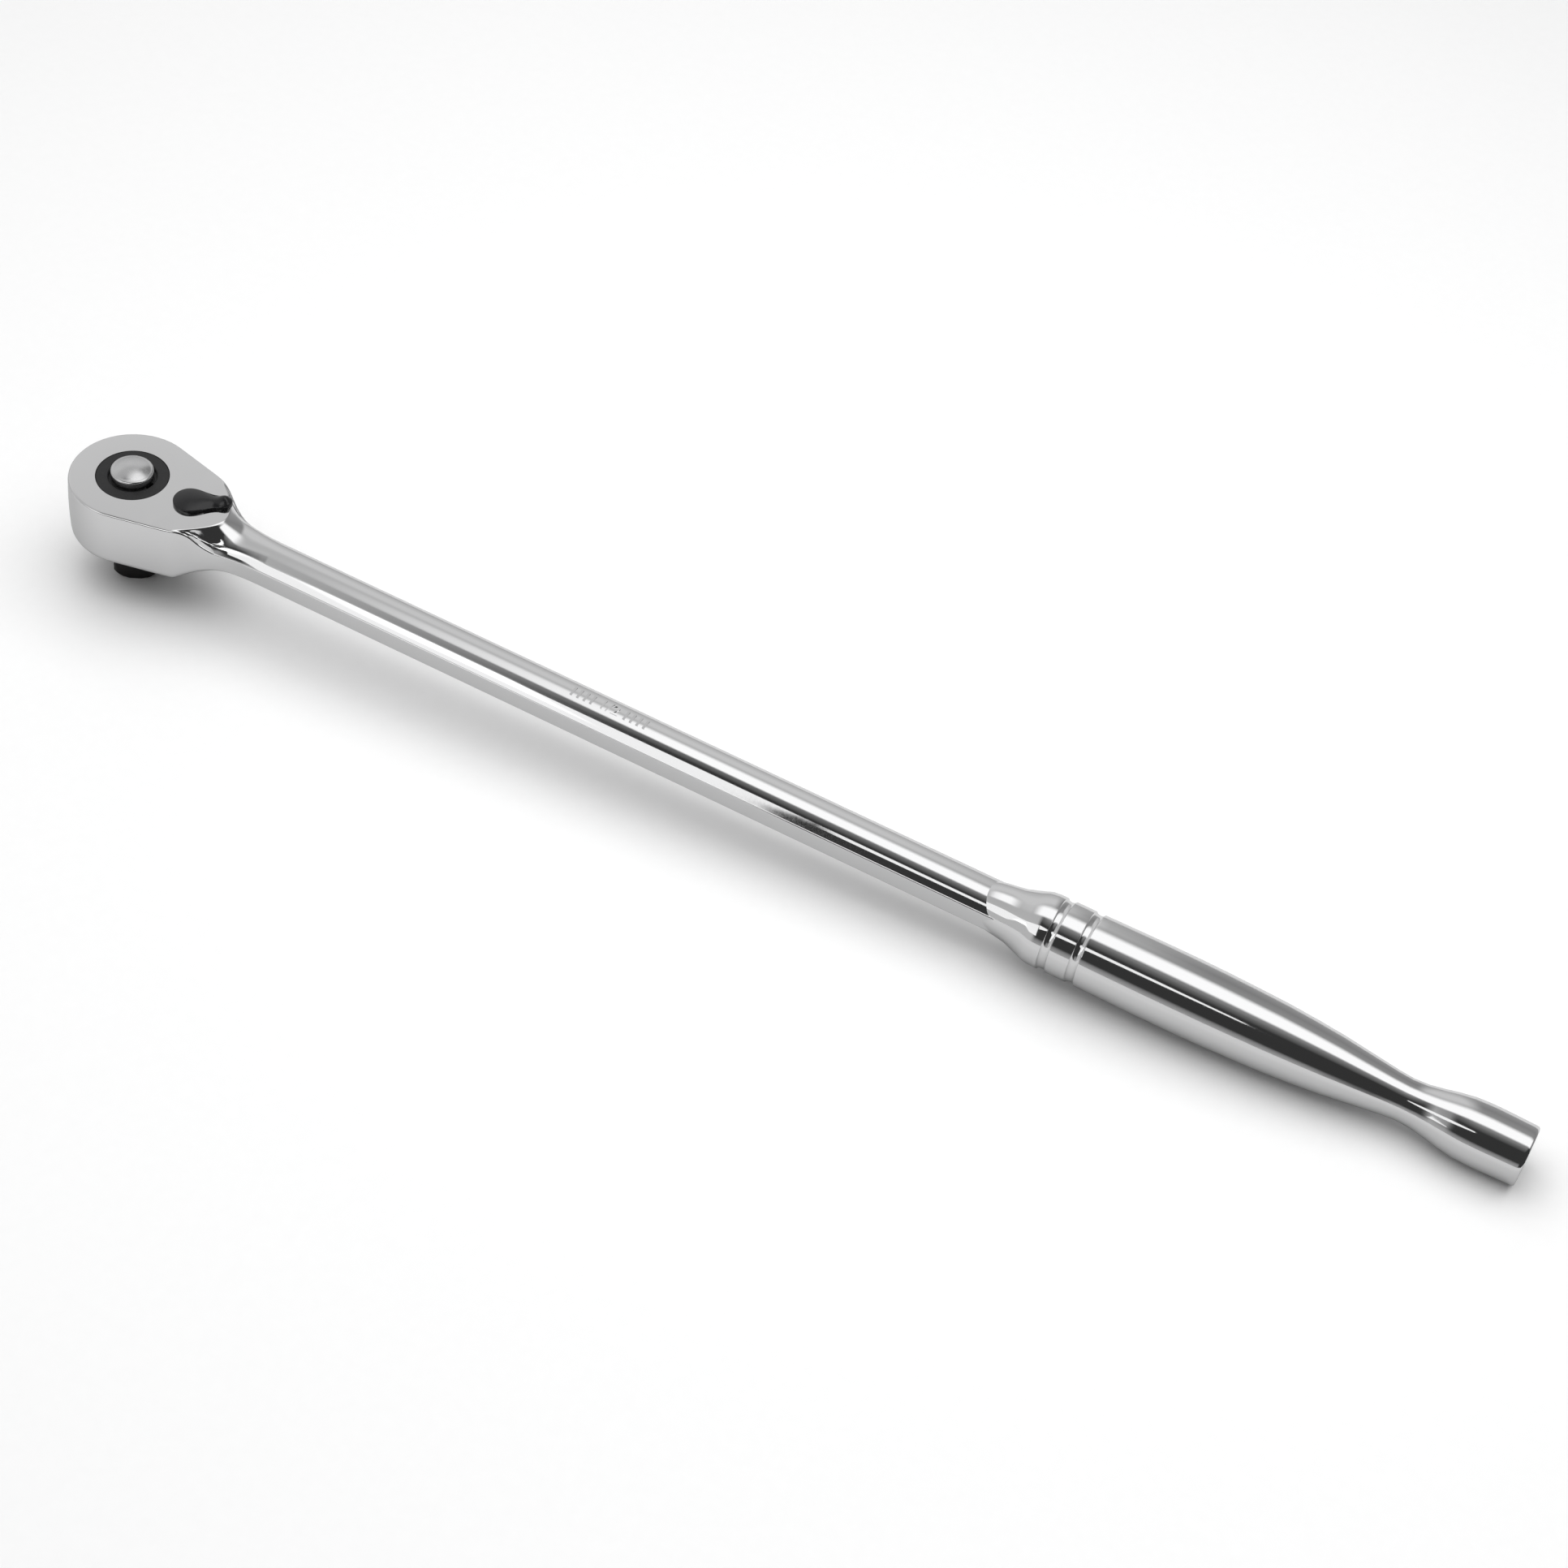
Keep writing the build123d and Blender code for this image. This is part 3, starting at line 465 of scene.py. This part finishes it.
# Upward inside the well, over the ring, then down the outside to the bottom.
edge, top = drive["edge"], drive["top"]
profile = [(0, drive["wellFloor"]), (drive["wellRadius"], drive["wellFloor"]),
           (drive["wellRadius"], top - edge), (drive["wellRadius"] + edge, top),
           (drive["ringRadius"] - edge, top), (drive["ringRadius"], top - edge),
           (drive["ringRadius"], drive["gearTop"]), (drive["gearRadius"], drive["gearTop"]),
           (drive["gearRadius"], drive["gearBottom"]), (drive["bottomRadius"], drive["gearBottom"]),
           (drive["bottomRadius"], drive["bottomEdge"]),
           (drive["bottomRadius"] - drive["bottomEdge"], 0), (0, 0)]
spinProfile(driveShape, [(radius, 0, z) for radius, z in profile], drive["steps"])
squareRows = []
for above, inset in drive["squareEnds"]:
    row = []
    for i in range(drive["steps"]):
        t = 2 * math.pi * i / drive["steps"]
        limit = drive["side"] / 2 / max(abs(math.cos(t)), abs(math.sin(t)))
        radius = min(limit, drive["cornerRadius"] - inset)
        row.append((radius * math.cos(t + drive["turn"]), radius * math.sin(t + drive["turn"]),
                    drive["tip"] + above))
    squareRows.append(row)
square = loft(driveShape, squareRows, True)
fillFlat(driveShape, square[0])
fillFlat(driveShape, square[-1])
driveObject = makeObject(driveShape, "drive", blackOxide, sharpAngle=25)
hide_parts("drive_gear")
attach(driveObject, "drive")

ball = dict(radius=2.38, reach=4.61, height=-7.75)
ballShape = bmesh.new()
bmesh.ops.create_uvsphere(ballShape, u_segments=48, v_segments=24, radius=ball["radius"])
bmesh.ops.translate(ballShape, verts=ballShape.verts, vec=(
    ball["reach"] * math.cos(drive["turn"]), ball["reach"] * math.sin(drive["turn"]), ball["height"]))
ballObject = makeObject(ballShape, "detentBall", groundSteel, weighted=False)
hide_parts("detent_ball")
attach(ballObject, "ball")
print("drive done")


# Release button.

button = dict(radius=6.3, flange=7.0, flangeHeight=1.2, rim=22.7, dome=24.0, edge=0.75, bottom=12.0,
              edgeSteps=8, domeSteps=12, steps=96)
buttonShape = bmesh.new()
flangeTop = button["bottom"] + button["flangeHeight"]
profile = [(0, button["bottom"]), (button["flange"], button["bottom"]), (button["flange"], flangeTop),
           (button["radius"], flangeTop)]
for i in range(button["edgeSteps"] + 1):
    t = math.pi / 2 * i / button["edgeSteps"]
    profile.append((button["radius"] - button["edge"] * (1 - math.cos(t)),
                    button["rim"] - button["edge"] * (1 - math.sin(t))))
flat = button["radius"] - button["edge"]
rise = button["dome"] - button["rim"]
domeRadius = (flat**2 + rise**2) / (2 * rise)
for i in range(1, button["domeSteps"] + 1):
    r = flat * (1 - i / button["domeSteps"])
    profile.append((r, button["dome"] - domeRadius + math.sqrt(domeRadius**2 - r * r)))
spinProfile(buttonShape, [(radius, 0, z) for radius, z in profile], button["steps"])
buttonObject = makeObject(buttonShape, "releaseButton", brushed, sharpAngle=50)
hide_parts("release_button")
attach(buttonObject, "button")
print("button done")


# Reversing lever.

lever = dict(
    turn=math.radians(30), hub=5.0, neckAt=8.3, neck=2.62, tipAt=9.65, tip=2.55, side=1.1,
    dome=0.8, bump=1.1, bumpAt=10.0, bumpWidth=2.0, saddle=0.35, saddleAt=6.6, saddleWidth=2.2,
    overlayDepth=0.1, stem=3.4, stemBottom=3.5, steps=120, domeShares=(0.8, 0.6, 0.4, 0.2, 0.03),
    # Inset and height over the straight side, around its rounded edge.
    edgeRows=[(0, -0.25), (0.12, -0.06), (0.35, 0.04)])
leverBase = gearTop + 0.05


def leverHalf(x):
    if x > lever["tipAt"]:
        return math.sqrt(max(0.0, lever["tip"]**2 - (x - lever["tipAt"]) ** 2))
    arc = math.sqrt(max(0.0, lever["hub"]**2 - x * x)) if x < lever["hub"] else 0
    if x <= 0:
        return arc
    swell = 0.5 + 0.5 * math.cos(math.pi * min(1.0, x / lever["neckAt"]))
    return max(arc, lever["neck"] + (lever["hub"] - 0.04 - lever["neck"]) * swell)


leverShape = bmesh.new()
outline = []
lastReach = lever["tipAt"] + lever["tip"]
for i in range(lever["steps"]):
    t = i / lever["steps"]
    x = -lever["hub"] + (lastReach + lever["hub"]) * (0.5 - 0.5 * math.cos(2 * math.pi * t))
    side = 1 if t <= 0.5 else -1
    outline.append((x, side * leverHalf(x)))
rows = []
for inset, z in [(0, 0.0)] + [(inset, lever["side"] + above) for inset, above in lever["edgeRows"]]:
    row = []
    for x, y in outline:
        spine = max(0.0, min(x, lever["tipAt"]))
        pull = Vector((x - spine, y))
        pull.length = max(0.01, pull.length - inset)
        row.append((spine + pull.x, pull.y, z))
    rows.append(row)
edgeRow = rows[-1]
for share in lever["domeShares"]:
    row = []
    for x, y, z in edgeRow:
        spine = max(0.0, min(x, lever["tipAt"]))
        row.append((spine + (x - spine) * share, y * share, z + lever["dome"] * (1 - share * share)))
    rows.append(row)


def overlaid(x, y, z):
    # The thumb's bump at the tip and the saddle before it, above the straight side only.
    if z <= lever["side"] - lever["overlayDepth"]:
        return (x, y, z)
    far = math.hypot(x - lever["bumpAt"], y)
    z += lever["bump"] * math.exp(-(far / lever["bumpWidth"]) ** 2)
    z -= lever["saddle"] * math.exp(-((x - lever["saddleAt"]) / lever["saddleWidth"]) ** 2)
    return (x, y, z)


loops = loft(leverShape, [[overlaid(*point) for point in row] for row in rows], True)
fillFlat(leverShape, loops[0])
fillFlat(leverShape, loops[-1])
loft(leverShape, [circle(lever["stem"], z, 48) for z in (0.2, lever["stemBottom"] - leverBase)], True)
bmesh.ops.holes_fill(leverShape, edges=[e for e in leverShape.edges if e.is_boundary], sides=0)
bmesh.ops.rotate(leverShape, verts=leverShape.verts, matrix=Matrix.Rotation(lever["turn"], 3, "Z"))
bmesh.ops.translate(leverShape, verts=leverShape.verts, vec=(body["leverX"], 0, leverBase))
leverObject = makeObject(leverShape, "reversingLever", glossBlack, sharpAngle=50)
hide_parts("reversing_lever")
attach(leverObject, "lever")
print("lever done")


# Size mark raised on the shank.

mark = dict(text="1/2", size=5.2, depth=0.3, above=0.22, centreX=162, bars=4, firstBar=5.4, barGap=2.1,
            barWidth=0.75, barLength=3.4)
curve = bpy.data.curves.new("sizeMarkText", "FONT")
curve.body = mark["text"]
curve.size = mark["size"]
curve.extrude = mark["depth"]
curve.align_x = "CENTER"
curve.align_y = "CENTER"
textObject = bpy.data.objects.new("sizeMarkText", curve)
scene.collection.objects.link(textObject)
bpy.context.view_layer.update()
textMesh = bpy.data.meshes.new_from_object(textObject)
bpy.data.objects.remove(textObject)
markShape = bmesh.new()
markShape.from_mesh(textMesh)
bpy.data.meshes.remove(textMesh)
bmesh.ops.remove_doubles(markShape, verts=markShape.verts, dist=0.001)
barSize = Matrix.Diagonal((mark["barWidth"], mark["barLength"], 2 * mark["depth"], 1))
for side in (-1, 1):
    for i in range(mark["bars"]):
        place = Matrix.Translation((side * (mark["firstBar"] + i * mark["barGap"]), 0, 0))
        bmesh.ops.create_cube(markShape, size=1, matrix=place @ barSize)
for v in markShape.verts:
    drop = crownRadius - math.sqrt(crownRadius**2 - v.co.y * v.co.y)
    level = mark["above"] if v.co.z > 0 else -mark["depth"]
    v.co = Vector((mark["centreX"] + v.co.x, v.co.y, axisZ + body["shankTop"] - drop + level))
markObject = makeObject(markShape, "sizeMark", chrome, sharpAngle=35)
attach(markObject, "handle")
print("mark done")


# Floor, cards, light and camera.

def plane(name, corners, material):
    bm = bmesh.new()
    bmesh.ops.create_grid(bm, x_segments=1, y_segments=1, size=0.5)
    layer = bm.loops.layers.uv.new("UVMap")
    for loop in (loop for face in bm.faces for loop in face.loops):
        loop[layer].uv = (loop.vert.co.x + 0.5, loop.vert.co.y + 0.5)
    low, right, high, left = [Vector(c) * mm for c in corners]
    for v in bm.verts:
        a, b = v.co.x + 0.5, v.co.y + 0.5
        v.co = (low * (1 - a) + right * a) * (1 - b) + (left * (1 - a) + high * a) * b
    mesh = bpy.data.meshes.new(name)
    bm.to_mesh(mesh)
    bm.free()
    mesh.materials.append(material)
    obj = bpy.data.objects.new(name, mesh)
    scene.collection.objects.link(obj)
    return obj


def onlyReflected(obj):
    obj.visible_camera = False
    obj.visible_diffuse = False
    obj.visible_shadow = False
    obj.visible_transmission = False


def glowMaterial(name, brightness, fades):
    # Emission that fades to clear over a share of the card at its left, right, low and high side.
    mat, nodes, links, shader = newMaterial(name)
    nodes.remove(shader)
    out = nodes["Material Output"]
    coord = nodes.new("ShaderNodeTexCoord")
    split = nodes.new("ShaderNodeSeparateXYZ")
    links.new(coord.outputs["UV"], split.inputs["Vector"])
    product = None
    left, right, near, far = fades
    for axis, start, end in (("X", 0, left), ("X", 1, 1 - right), ("Y", 0, near), ("Y", 1, 1 - far)):
        if start == end:
            continue
        step = nodes.new("ShaderNodeMapRange")
        step.interpolation_type = "SMOOTHSTEP"
        step.inputs["From Min"].default_value = min(start, end)
        step.inputs["From Max"].default_value = max(start, end)
        step.inputs["To Min"].default_value = float(start > end)
        step.inputs["To Max"].default_value = float(start < end)
        links.new(split.outputs[axis], step.inputs["Value"])
        if product is None:
            product = step.outputs["Result"]
            continue
        times = nodes.new("ShaderNodeMath")
        times.operation = "MULTIPLY"
        links.new(product, times.inputs[0])
        links.new(step.outputs["Result"], times.inputs[1])
        product = times.outputs[0]
    glow = nodes.new("ShaderNodeEmission")
    glow.inputs["Strength"].default_value = brightness
    clear = nodes.new("ShaderNodeBsdfTransparent")
    mix = nodes.new("ShaderNodeMixShader")
    links.new(product, mix.inputs["Fac"])
    links.new(clear.outputs[0], mix.inputs[1])
    links.new(glow.outputs[0], mix.inputs[2])
    links.new(mix.outputs[0], out.inputs["Surface"])
    return mat


floor = dict(
    reach=4000, mirrorReach=800, white=0.9, whiteSpread=0.01, grain=300, lift=-0.02, mirrorLift=0.03,
    tipX=4.8, knobX=427.0, knobRadius=8.84,
    # Place between the two distances behind the tool, in metres, and tone; the tones are painted shade for
    # the floor seen in the chrome.
    toneFrom=-0.2, toneTo=0.5,
    paintedShadeTones=[(0.0, 0.62), (0.2, 0.58), (0.262, 0.47), (0.3, 0.46), (0.34, 0.62), (0.42, 0.62), (0.62, 0.42),
           (1.0, 0.34)])
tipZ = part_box("drive_gear")[0].z / mm
slope = (axisZ - floor["knobRadius"] - tipZ) / (floor["knobX"] - floor["tipX"])


def floorCorners(reach, lift):
    return [(x, y, tipZ + slope * (x - floor["tipX"]) + lift)
            for x, y in ((-reach, -reach), (reach, -reach), (reach, reach), (-reach, reach))]


def paper(name):
    mat, nodes, links, shader = newMaterial(name)
    shader.inputs["Roughness"].default_value = 0.9
    shader.inputs["Specular IOR Level"].default_value = 0.0
    coord = nodes.new("ShaderNodeTexCoord")
    return mat, nodes, links, shader, coord


paperMat, nodes, links, shader, coord = paper("floorPaper")
grain = nodes.new("ShaderNodeTexNoise")
grain.inputs["Scale"].default_value = floor["grain"]
shade = nodes.new("ShaderNodeMapRange")
shade.inputs["To Min"].default_value = floor["white"] - floor["whiteSpread"]
shade.inputs["To Max"].default_value = floor["white"] + floor["whiteSpread"]
links.new(coord.outputs["Object"], grain.inputs["Vector"])
links.new(grain.outputs["Fac"], shade.inputs["Value"])
links.new(shade.outputs["Result"], shader.inputs["Base Color"])
floorObject = plane("floor", floorCorners(floor["reach"], floor["lift"]), paperMat)
floorObject.visible_glossy = False

# What the chrome sees of the floor: a second, greyer floor with painted shade, grey under the tool, lighter
# around it, darker far behind.
mirrorMat, nodes, links, shader, coord = paper("floorSeenInChromeWithPaintedShade")
split = nodes.new("ShaderNodeSeparateXYZ")
links.new(coord.outputs["Object"], split.inputs["Vector"])
away = nodes.new("ShaderNodeMapRange")
away.inputs["From Min"].default_value = floor["toneFrom"]
away.inputs["From Max"].default_value = floor["toneTo"]
links.new(split.outputs["Y"], away.inputs["Value"])
# Painted shade: the grey of the floor seen in the chrome, set by distance behind the tool.
paintedShadeTones = greyRamp(nodes, floor["paintedShadeTones"])
links.new(away.outputs["Result"], paintedShadeTones.inputs["Fac"])
links.new(paintedShadeTones.outputs["Color"], shader.inputs["Base Color"])
mirrorFloor = plane("floorForChrome", floorCorners(floor["mirrorReach"], floor["mirrorLift"]), mirrorMat)
onlyReflected(mirrorFloor)

cards = dict(height=620, edgeHeight=150, overhead=1.12, near=1.0, edge=1.5)


def card(name, corners, z, brightness, fades):
    onlyReflected(plane(name, [(x, y, z) for x, y in corners], glowMaterial(name, brightness, fades)))


card("overheadCard", [(-260, -110), (900, -110), (900, 470), (-260, 470)],
     cards["height"], cards["overhead"], (0.24, 0.1, 0.16, 0.42))
card("nearPanel", [(-900, -1700), (-230, -1700), (62, -430), (-900, -560)],
     cards["height"], cards["near"], (0.1, 0.03, 0.1, 0.03))
card("nearStrip", [(30, -650), (365, -540), (365, -475), (62, -430)],
     cards["height"], cards["near"], (0, 0.04, 0.06, 0.06))
# A small card low over the near side lights only the head's upper edge and the start of the shank.
card("edgeCard", [(-30, -240), (85, -240), (85, -90), (-30, -90)],
     cards["edgeHeight"], cards["edge"], (0.3, 0.15, 0.2, 0.2))


def areaLight(name, place, size, power):
    data = bpy.data.lights.new(name, "AREA")
    data.shape = "RECTANGLE"
    data.size, data.size_y = size
    data.energy = power
    obj = bpy.data.objects.new(name, data)
    obj.location = place
    scene.collection.objects.link(obj)
    obj.visible_glossy = False


areaLight("softbox", (0.2, 0.1, 0.7), (1.2, 1.0), 4.2)
areaLight("ceilingBounce", (0.2, 0.0, 1.5), (3.0, 3.0), 20.0)

world = bpy.data.worlds.new("studio")
scene.world = world
world.use_nodes = True
nodes, links = world.node_tree.nodes, world.node_tree.links
background = nodes["Background"]
coord = nodes.new("ShaderNodeTexCoord")
split = nodes.new("ShaderNodeSeparateXYZ")
links.new(coord.outputs["Generated"], split.inputs["Vector"])


def levels(stops):
    # Grey by height in the sky, from horizon 0 to zenith 1.
    ramp = greyRamp(nodes, stops)
    links.new(split.outputs["Z"], ramp.inputs["Fac"])
    return ramp.outputs["Color"]


def blend(factor, one, other):
    mix = nodes.new("ShaderNodeMix")
    mix.data_type = "RGBA"
    links.new(factor, mix.inputs["Factor"])
    links.new(one, mix.inputs["A"])
    links.new(other, mix.inputs["B"])
    return mix.outputs["Result"]


def band(source, low, high):
    step = nodes.new("ShaderNodeMapRange")
    step.interpolation_type = "SMOOTHSTEP"
    step.inputs["From Min"].default_value = low
    step.inputs["From Max"].default_value = high
    links.new(source, step.inputs["Value"])
    return step.outputs["Result"]


toRight = band(split.outputs["X"], -0.22, -0.06)
farLeft = levels([(0.0, 0.48), (0.19, 0.53), (0.42, 0.62), (0.64, 0.62), (0.77, 0.5), (1.0, 0.46)])
farRight = levels([(0.0, 0.32), (0.14, 0.29), (0.48, 0.23), (0.75, 0.28), (0.9, 0.3), (1.0, 0.3)])
nearLeft = levels([(0.0, 0.5), (0.4, 0.5), (0.8, 0.47), (1.0, 0.46)])
nearRight = levels([(0.0, 0.34), (0.17, 0.22), (0.28, 0.035), (0.85, 0.035), (0.94, 0.14), (1.0, 0.3)])
nearFarRight = levels([(0.0, 0.15), (0.06, 0.035), (0.85, 0.035), (1.0, 0.3)])
far = blend(toRight, farLeft, farRight)
nearSide = blend(band(split.outputs["X"], -0.44, -0.28), nearLeft, nearRight)
near = blend(band(split.outputs["X"], 0.1, 0.3), nearSide, nearFarRight)
links.new(blend(band(split.outputs["Y"], -0.12, 0.12), near, far), background.inputs["Color"])

camera = dict(
    place=(422.31, -530.75, 631.10), lens=69.67,
    right=(0.87745, 0.46666, 0.11097), up=(-0.41228, 0.61547, 0.67173), back=(0.24517, -0.63516, 0.73243))
cameraData = bpy.data.cameras.new("camera")
cameraData.lens = camera["lens"]
cameraData.sensor_width = 36
cameraObject = bpy.data.objects.new("camera", cameraData)
scene.collection.objects.link(cameraObject)
turned = Matrix((camera["right"], camera["up"], camera["back"])).transposed().to_4x4()
cameraObject.matrix_world = Matrix.Translation(Vector(camera["place"]) * mm) @ turned
scene.camera = cameraObject
scene.view_settings.view_transform = "Standard"
print("stage done")
